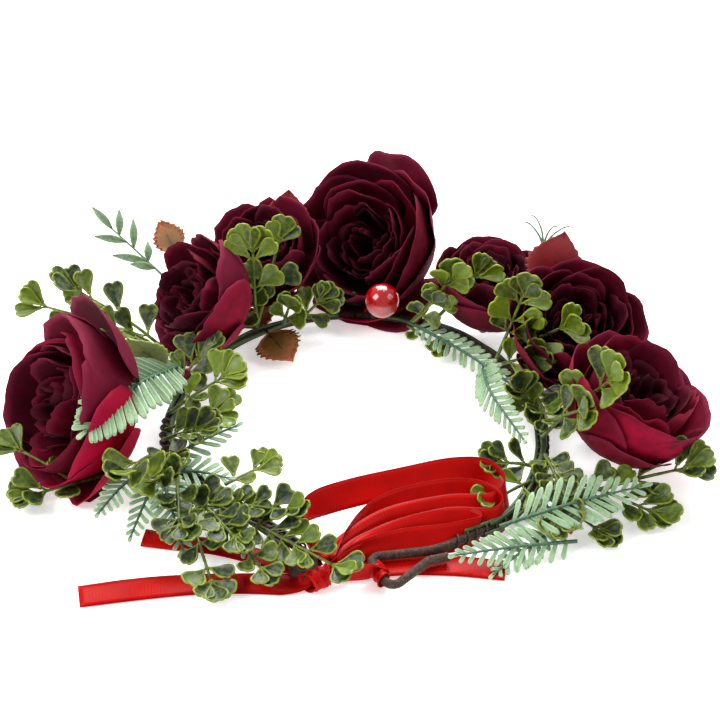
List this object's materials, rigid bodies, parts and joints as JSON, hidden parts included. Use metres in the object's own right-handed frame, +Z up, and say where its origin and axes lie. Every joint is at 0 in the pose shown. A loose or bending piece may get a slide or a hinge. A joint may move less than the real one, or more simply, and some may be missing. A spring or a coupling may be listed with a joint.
{
  "type": "flower crown",
  "caption": "Open wire hoop covered with burgundy fabric peonies, small plastic foliage and a berry, tied at the back with a red satin ribbon bow.",
  "frame": {"origin": "middle of the head opening's width, on the plane that the crown rests on", "axes": "+Z up, out of the crown's top; +Y towards the largest bloom at the front; +X across the head, with the ribbon bow's loops reaching towards it"},
  "size_m": [0.3224, 0.2841, 0.0745],
  "materials": {
    "steel_wire": "drawn steel",
    "wrapping_paper": "dark brown twisted paper, matte",
    "binding_wire": "dark brown lacquered wire, satin",
    "petal_fabric": "burgundy woven fabric, matte",
    "heart_fabric": "very dark burgundy fabric, matte",
    "green_plastic": "moulded green plastic",
    "boxwood_plastic": "moulded plastic, satin, yellow-green rims",
    "fern_plastic": "moulded plastic, frosted mint",
    "russet_plastic": "moulded plastic shaded from green to russet",
    "olive_plastic": "moulded plastic, matte olive",
    "leaf_fabric": "pinked red fabric, matte",
    "twig_plastic": "moulded plastic, matte",
    "berry_lacquer": "high gloss red lacquer",
    "bud_plastic": "glossy dark red",
    "satin_ribbon": "red satin ribbon with woven edges"
  },
  "bodies": {
    "left_half": {"berry": "berry_lacquer", "binding_wire_left": "binding_wire", "boxwood_arm_left": "boxwood_plastic", "boxwood_front": "boxwood_plastic", "boxwood_front_left": "boxwood_plastic", "boxwood_inner_left": "boxwood_plastic", "boxwood_low_left": "boxwood_plastic", "boxwood_tail_left": "boxwood_plastic", "boxwood_top_left": "boxwood_plastic", "bristly_leaves_left": "russet_plastic", "bud": "bud_plastic", "core_wire_left": "steel_wire", "fabric_leaf_left": "leaf_fabric", "fern_inner_left": "fern_plastic", "fern_low_left": "fern_plastic", "fern_top_left": "fern_plastic", "flower_front_calyx": "green_plastic", "flower_front_heart": "heart_fabric", "flower_front_petals": "petal_fabric", "flower_mid_left_calyx": "green_plastic", "flower_mid_left_heart": "heart_fabric", "flower_mid_left_petals": "petal_fabric", "flower_rear_left_calyx": "green_plastic", "flower_rear_left_heart": "heart_fabric", "flower_rear_left_petals": "petal_fabric", "flower_side_left_calyx": "green_plastic", "flower_side_left_heart": "heart_fabric", "flower_side_left_petals": "petal_fabric", "olive_leaf": "olive_plastic", "paper_wrap_left": "wrapping_paper", "ribbon_knot": "satin_ribbon", "ribbon_short_tail": "satin_ribbon", "twig": "twig_plastic"},
    "right_half": {"binding_wire_right": "binding_wire", "boxwood_arm_right": "boxwood_plastic", "boxwood_front_right": "boxwood_plastic", "boxwood_low_right": "boxwood_plastic", "boxwood_side_right": "boxwood_plastic", "bristly_leaf_right": "russet_plastic", "core_wire_right": "steel_wire", "fabric_leaf_right": "leaf_fabric", "fern_hanging": "fern_plastic", "fern_inner_right": "fern_plastic", "fern_low_right": "fern_plastic", "fern_outer_right": "fern_plastic", "flower_mid_right_calyx": "green_plastic", "flower_mid_right_heart": "heart_fabric", "flower_mid_right_petals": "petal_fabric", "flower_rear_right_calyx": "green_plastic", "flower_rear_right_heart": "heart_fabric", "flower_rear_right_petals": "petal_fabric", "flower_side_right_calyx": "green_plastic", "flower_side_right_heart": "heart_fabric", "flower_side_right_petals": "petal_fabric", "paper_wrap_right": "wrapping_paper", "ribbon_hitch": "satin_ribbon", "tendril": "twig_plastic"},
    "bow": {"ribbon_loops": "satin_ribbon"},
    "tail": {"ribbon_tail": "satin_ribbon"}
  },
  "joints": [
    {"name": "hoop_spread", "type": "hinge", "parent": "left_half", "child": "right_half", "pos_m": [0, 0.1113, 0.005], "axis": [0, 0, 1], "range_deg": [0, 10], "stiffness_Nm_per_rad": 0.05},
    {"name": "bow_swing", "type": "hinge", "parent": "left_half", "child": "bow", "pos_m": [-0.0154, -0.088, 0.005], "axis": [-0.52, 0.8542, 0], "range_deg": [0, 50]},
    {"name": "tail_sweep", "type": "hinge", "parent": "left_half", "child": "tail", "pos_m": [-0.0154, -0.0919, 0.005], "axis": [0, 0, 1], "range_deg": [0, 35]}
  ]
}
